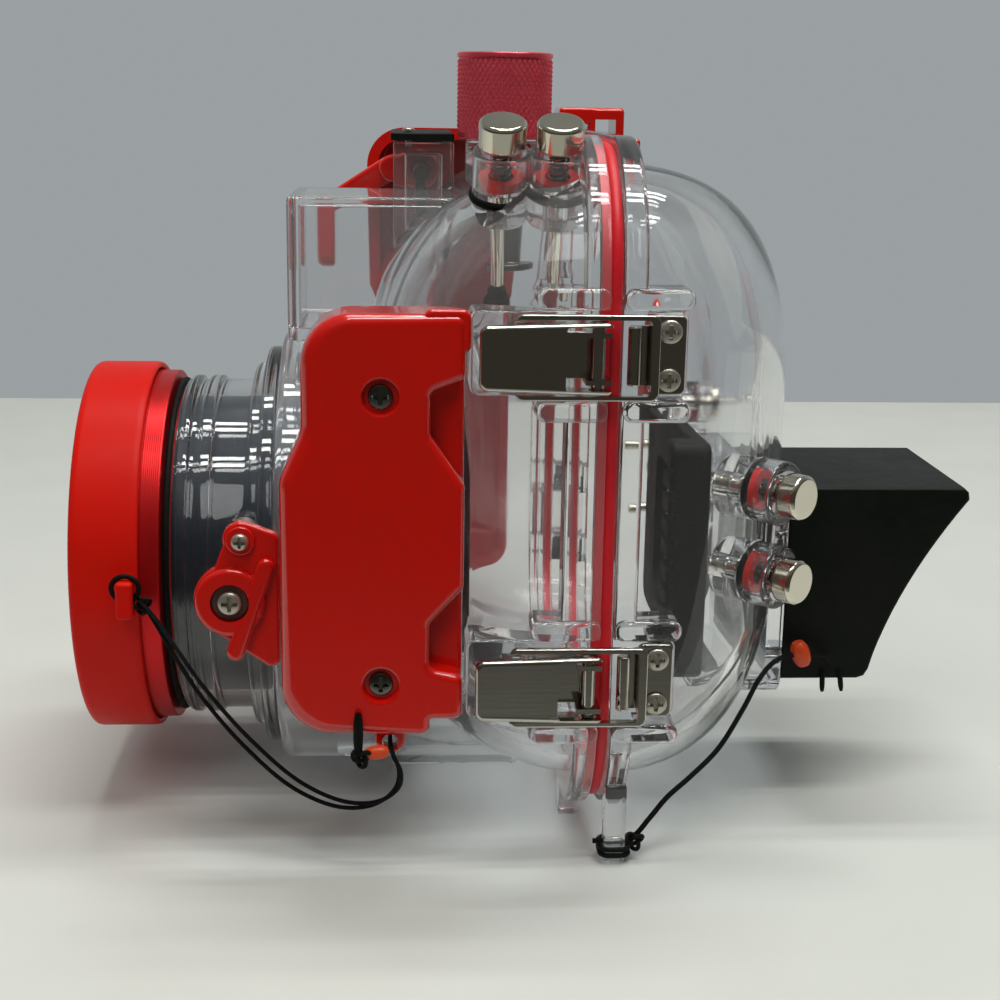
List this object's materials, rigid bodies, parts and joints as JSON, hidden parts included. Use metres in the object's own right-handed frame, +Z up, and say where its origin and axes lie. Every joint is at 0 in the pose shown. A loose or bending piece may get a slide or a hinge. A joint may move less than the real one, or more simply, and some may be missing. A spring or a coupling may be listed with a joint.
{
  "type": "underwater camera housing",
  "caption": "Clear two-shell diving case for a camera, with a lens port and red cap, draw latches, sealed push buttons, a knurled knob, red grip covers and a black screen hood.",
  "frame": {"origin": "under the middle of the whole housing, on the plane of its feet", "axes": "+Y from the lens port to the screen hood (the port looks along -Y), +Z up, +X towards the latch side, which the left hand of the viewer holds"},
  "size_m": [0.1604, 0.1784, 0.1526],
  "materials": {
    "clear_plastic": "clear, polished",
    "window_glass": "clear, coated",
    "red_plastic": "gloss",
    "red_anodised": "anodised",
    "seal_rubber": "satin",
    "liner_plastic": "satin",
    "black_rubber": "matt",
    "black_plastic": "matt",
    "steel": "polished",
    "nickel": "plated",
    "brown_washer": "matt",
    "black_cord": "braided"
  },
  "bodies": {
    "case": {"front_case": "clear_plastic", "main_gasket": "seal_rubber", "port_barrel": "clear_plastic", "port_liner": "liner_plastic", "port_window": "window_glass", "port_ring": "red_anodised", "port_o_ring": "black_rubber", "side_cover": "red_plastic", "side_bracket": "red_plastic", "bracket_washer": "brown_washer", "bracket_screw_large": "steel", "bracket_screw_small": "steel", "cover_screw_upper": "steel", "cover_screw_lower": "steel", "upper_latch_base": "steel", "lower_latch_base": "steel", "hinge_pin": "steel", "top_button_front_spring": "steel", "top_button_rear_spring": "steel", "flash_box": "clear_plastic", "block_lid": "black_plastic", "lid_screw": "steel", "grip_cover": "red_plastic", "cap_lanyard": "black_cord"},
    "door": {"rear_door": "clear_plastic", "upper_latch_keeper": "steel", "lower_latch_keeper": "steel", "upper_keeper_screw_upper": "steel", "upper_keeper_screw_lower": "steel", "lower_keeper_screw_upper": "steel", "lower_keeper_screw_lower": "steel", "corner_button_upper_spring": "steel", "corner_button_lower_spring": "steel", "camera_cushion": "black_rubber", "thumb_rest": "red_plastic", "strap_lug": "red_plastic", "hood_lanyard": "black_cord"},
    "upper_lever": {"upper_latch_lever": "steel"},
    "upper_bail": {"upper_latch_bail": "steel"},
    "lower_lever": {"lower_latch_lever": "steel"},
    "lower_bail": {"lower_latch_bail": "steel"},
    "knob": {"mode_knob": "red_anodised", "knob_shaft": "steel"},
    "top_front": {"top_button_front": "nickel", "top_button_front_tip": "black_rubber"},
    "top_rear": {"top_button_rear": "nickel"},
    "corner_upper": {"corner_button_upper": "nickel"},
    "corner_lower": {"corner_button_lower": "nickel"},
    "rear_up": {"rear_button_up": "nickel"},
    "rear_down": {"rear_button_down": "nickel"},
    "rear_left": {"rear_button_left": "nickel"},
    "rear_right": {"rear_button_right": "nickel"},
    "shutter": {"shutter_lever": "red_plastic", "shutter_shaft": "steel"},
    "cap": {"port_cap": "red_plastic"},
    "hood": {"lcd_hood": "black_plastic"}
  },
  "joints": [
    {"name": "door_hinge", "type": "hinge", "parent": "case", "child": "door", "pos_m": [-0.0712, 0.01205, 0.073], "axis": [0, 0, 1], "range_deg": [0, 95]},
    {"name": "upper_lever_hinge", "type": "hinge", "parent": "case", "child": "upper_lever", "pos_m": [0.0778, 0.00845, 0.0997], "axis": [0, 0, 1], "range_deg": [0, 120]},
    {"name": "upper_bail_pivot", "type": "hinge", "parent": "upper_lever", "child": "upper_bail", "pos_m": [0.0778, -0.00455, 0.0997], "axis": [0, 0, 1], "range_deg": [-120, 0]},
    {"name": "lower_lever_hinge", "type": "hinge", "parent": "case", "child": "lower_lever", "pos_m": [0.0778, 0.00845, 0.0389], "axis": [0, 0, 1], "range_deg": [0, 120]},
    {"name": "lower_bail_pivot", "type": "hinge", "parent": "lower_lever", "child": "lower_bail", "pos_m": [0.0778, -0.00455, 0.0389], "axis": [0, 0, 1], "range_deg": [-120, 0]},
    {"name": "knob_turn", "type": "hinge", "parent": "case", "child": "knob", "pos_m": [0.0028, -0.00395, 0.135], "axis": [0, 0, 1], "continuous": true},
    {"name": "top_front_press", "type": "slide", "parent": "case", "child": "top_front", "axis": [-0.3987, 0, -0.9171], "range_m": [0, 0.0025], "stiffness_N_per_m": 400, "springref_m": -0.003, "deforming": ["top_button_front_spring"]},
    {"name": "top_rear_press", "type": "slide", "parent": "case", "child": "top_rear", "axis": [-0.3987, 0, -0.9171], "range_m": [0, 0.0025], "stiffness_N_per_m": 400, "springref_m": -0.003, "deforming": ["top_button_rear_spring"]},
    {"name": "corner_upper_press", "type": "slide", "parent": "door", "child": "corner_upper", "axis": [-0.7431, -0.6691, 0], "range_m": [0, 0.0025], "stiffness_N_per_m": 400, "springref_m": -0.003, "deforming": ["corner_button_upper_spring"]},
    {"name": "corner_lower_press", "type": "slide", "parent": "door", "child": "corner_lower", "axis": [-0.7431, -0.6691, 0], "range_m": [0, 0.0025], "stiffness_N_per_m": 400, "springref_m": -0.003, "deforming": ["corner_button_lower_spring"]},
    {"name": "rear_up_press", "type": "slide", "parent": "door", "child": "rear_up", "axis": [0, -1, 0], "range_m": [0, 0.0022], "stiffness_N_per_m": 400, "springref_m": -0.003},
    {"name": "rear_down_press", "type": "slide", "parent": "door", "child": "rear_down", "axis": [0, -1, 0], "range_m": [0, 0.0022], "stiffness_N_per_m": 400, "springref_m": -0.003},
    {"name": "rear_left_press", "type": "slide", "parent": "door", "child": "rear_left", "axis": [0, -1, 0], "range_m": [0, 0.0022], "stiffness_N_per_m": 400, "springref_m": -0.003},
    {"name": "rear_right_press", "type": "slide", "parent": "door", "child": "rear_right", "axis": [0, -1, 0], "range_m": [0, 0.0022], "stiffness_N_per_m": 400, "springref_m": -0.003},
    {"name": "shutter_press", "type": "hinge", "parent": "case", "child": "shutter", "pos_m": [-0.0272, -0.02145, 0.127], "axis": [1, 0, 0], "range_deg": [0, 12], "stiffness_Nm_per_rad": 0.05, "springref_deg": -11.46},
    {"name": "cap_pull", "type": "slide", "parent": "case", "child": "cap", "axis": [0, -1, 0], "range_m": [0, 0.014]},
    {"name": "hood_pull", "type": "slide", "parent": "door", "child": "hood", "axis": [0, 1, 0], "range_m": [0, 0.012]}
  ],
  "couplings": [
    {"joint": "upper_bail_pivot", "follows": "upper_lever_hinge", "ratio": -1},
    {"joint": "lower_bail_pivot", "follows": "lower_lever_hinge", "ratio": -1}
  ]
}
